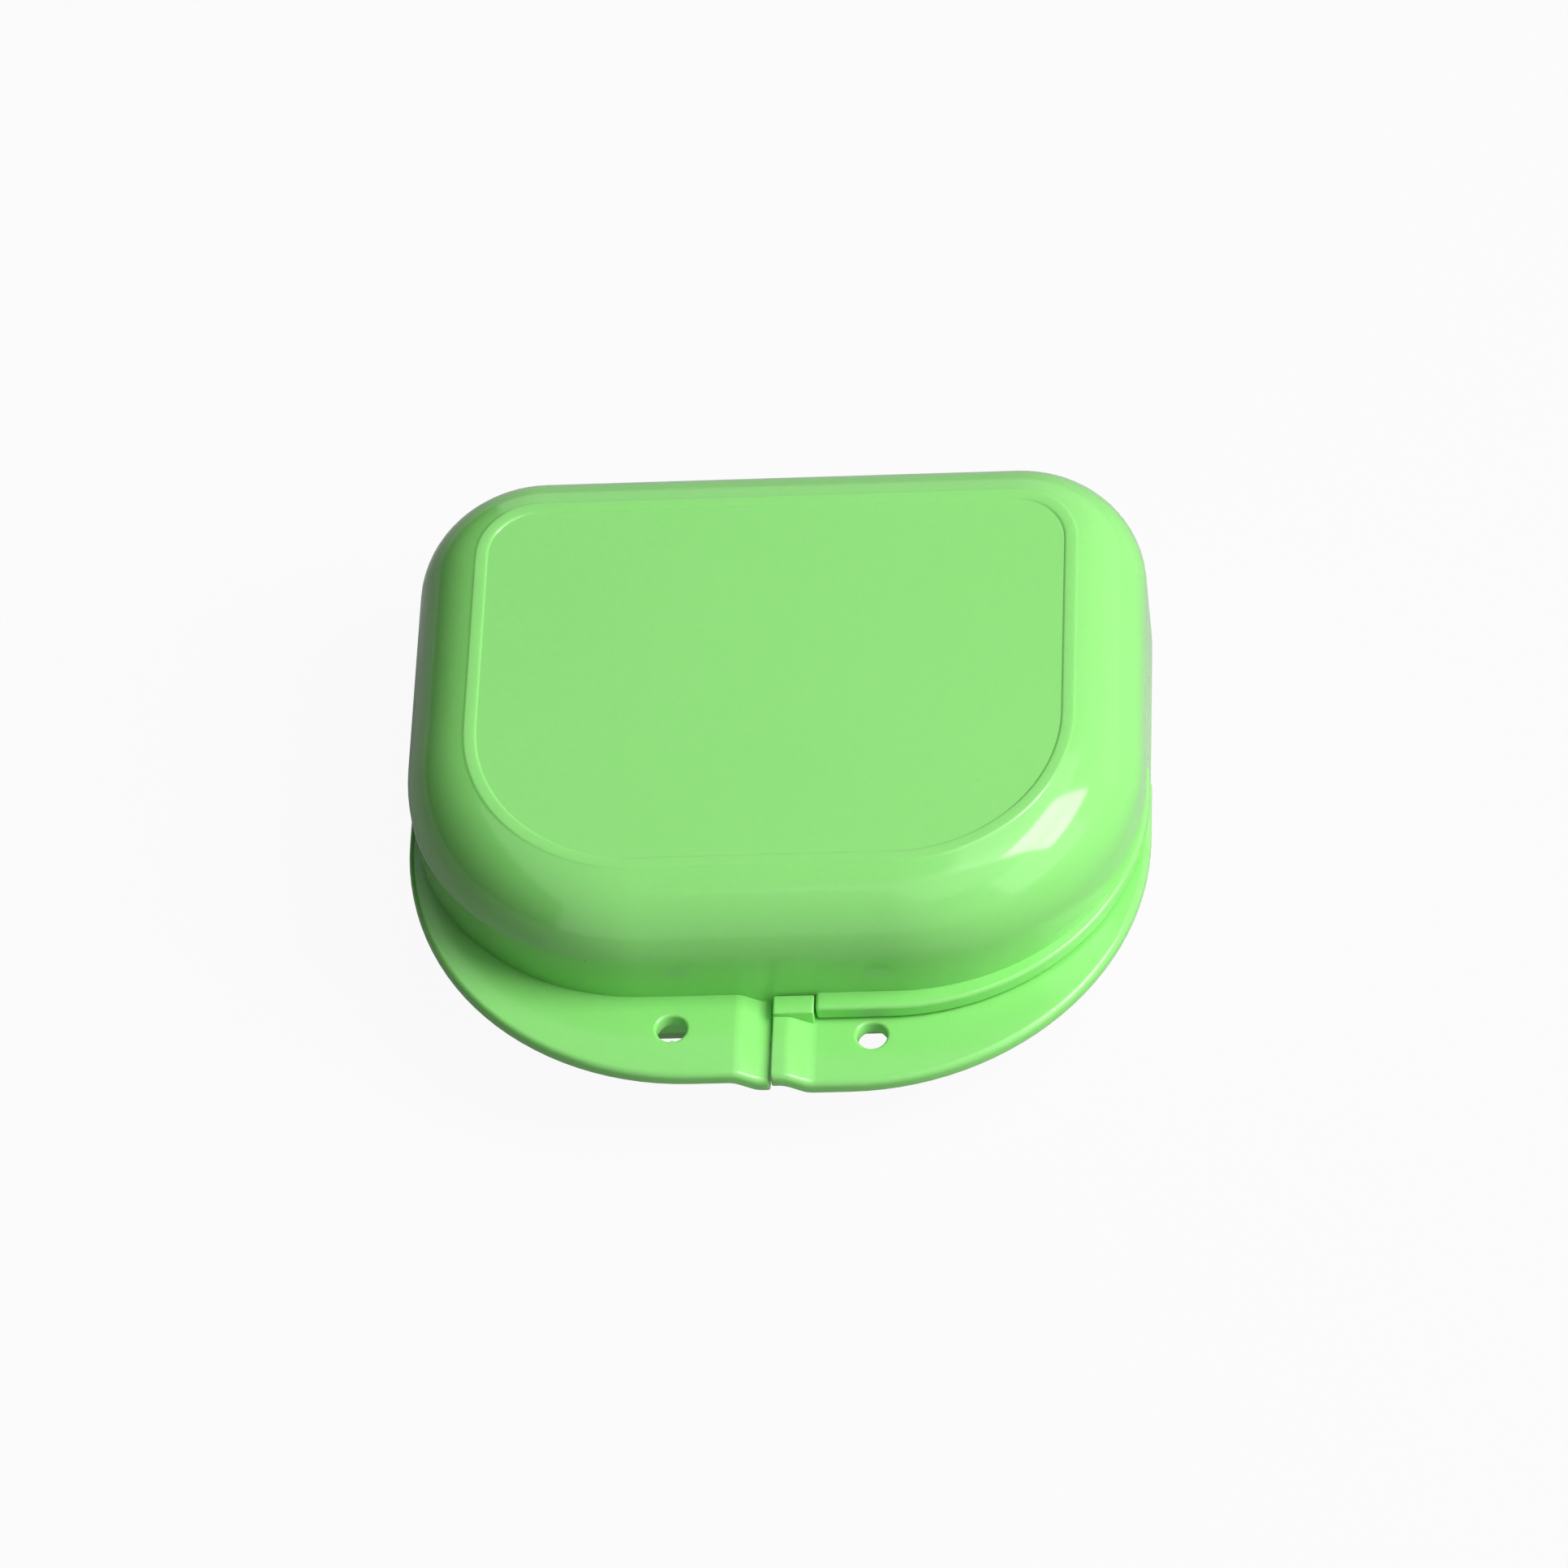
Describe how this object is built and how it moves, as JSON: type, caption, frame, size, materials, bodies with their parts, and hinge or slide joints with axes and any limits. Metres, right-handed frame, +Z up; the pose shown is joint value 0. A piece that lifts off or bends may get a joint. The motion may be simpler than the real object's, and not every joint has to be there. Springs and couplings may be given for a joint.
{
  "type": "orthodontic retainer case",
  "caption": "Shallow domed plastic case for a dental retainer, with a hinged lid, a raised ridge round its top panel and split thumb tabs that each have a cord hole.",
  "frame": {"origin": "centre of the bounding box of the closed case, on the table", "axes": "+Z up, -Y to the front where the thumb tabs are, +X to the right of a person who faces the tabs"},
  "size_m": [0.0802, 0.0796, 0.0265],
  "materials": {
    "green_plastic": "smooth moulded gloss",
    "pin_steel": "drawn wire"
  },
  "bodies": {
    "base": {"base_shell": "green_plastic", "base_tab": "green_plastic", "hinge_pin_left": "pin_steel", "hinge_pin_right": "pin_steel"},
    "lid": {"lid_shell": "green_plastic", "lid_tab": "green_plastic"}
  },
  "joints": [
    {"name": "lid_hinge", "type": "hinge", "parent": "base", "child": "lid", "pos_m": [0, 0.03753, 0.01057], "axis": [-1, 0, 0], "range_deg": [0, 150]}
  ]
}
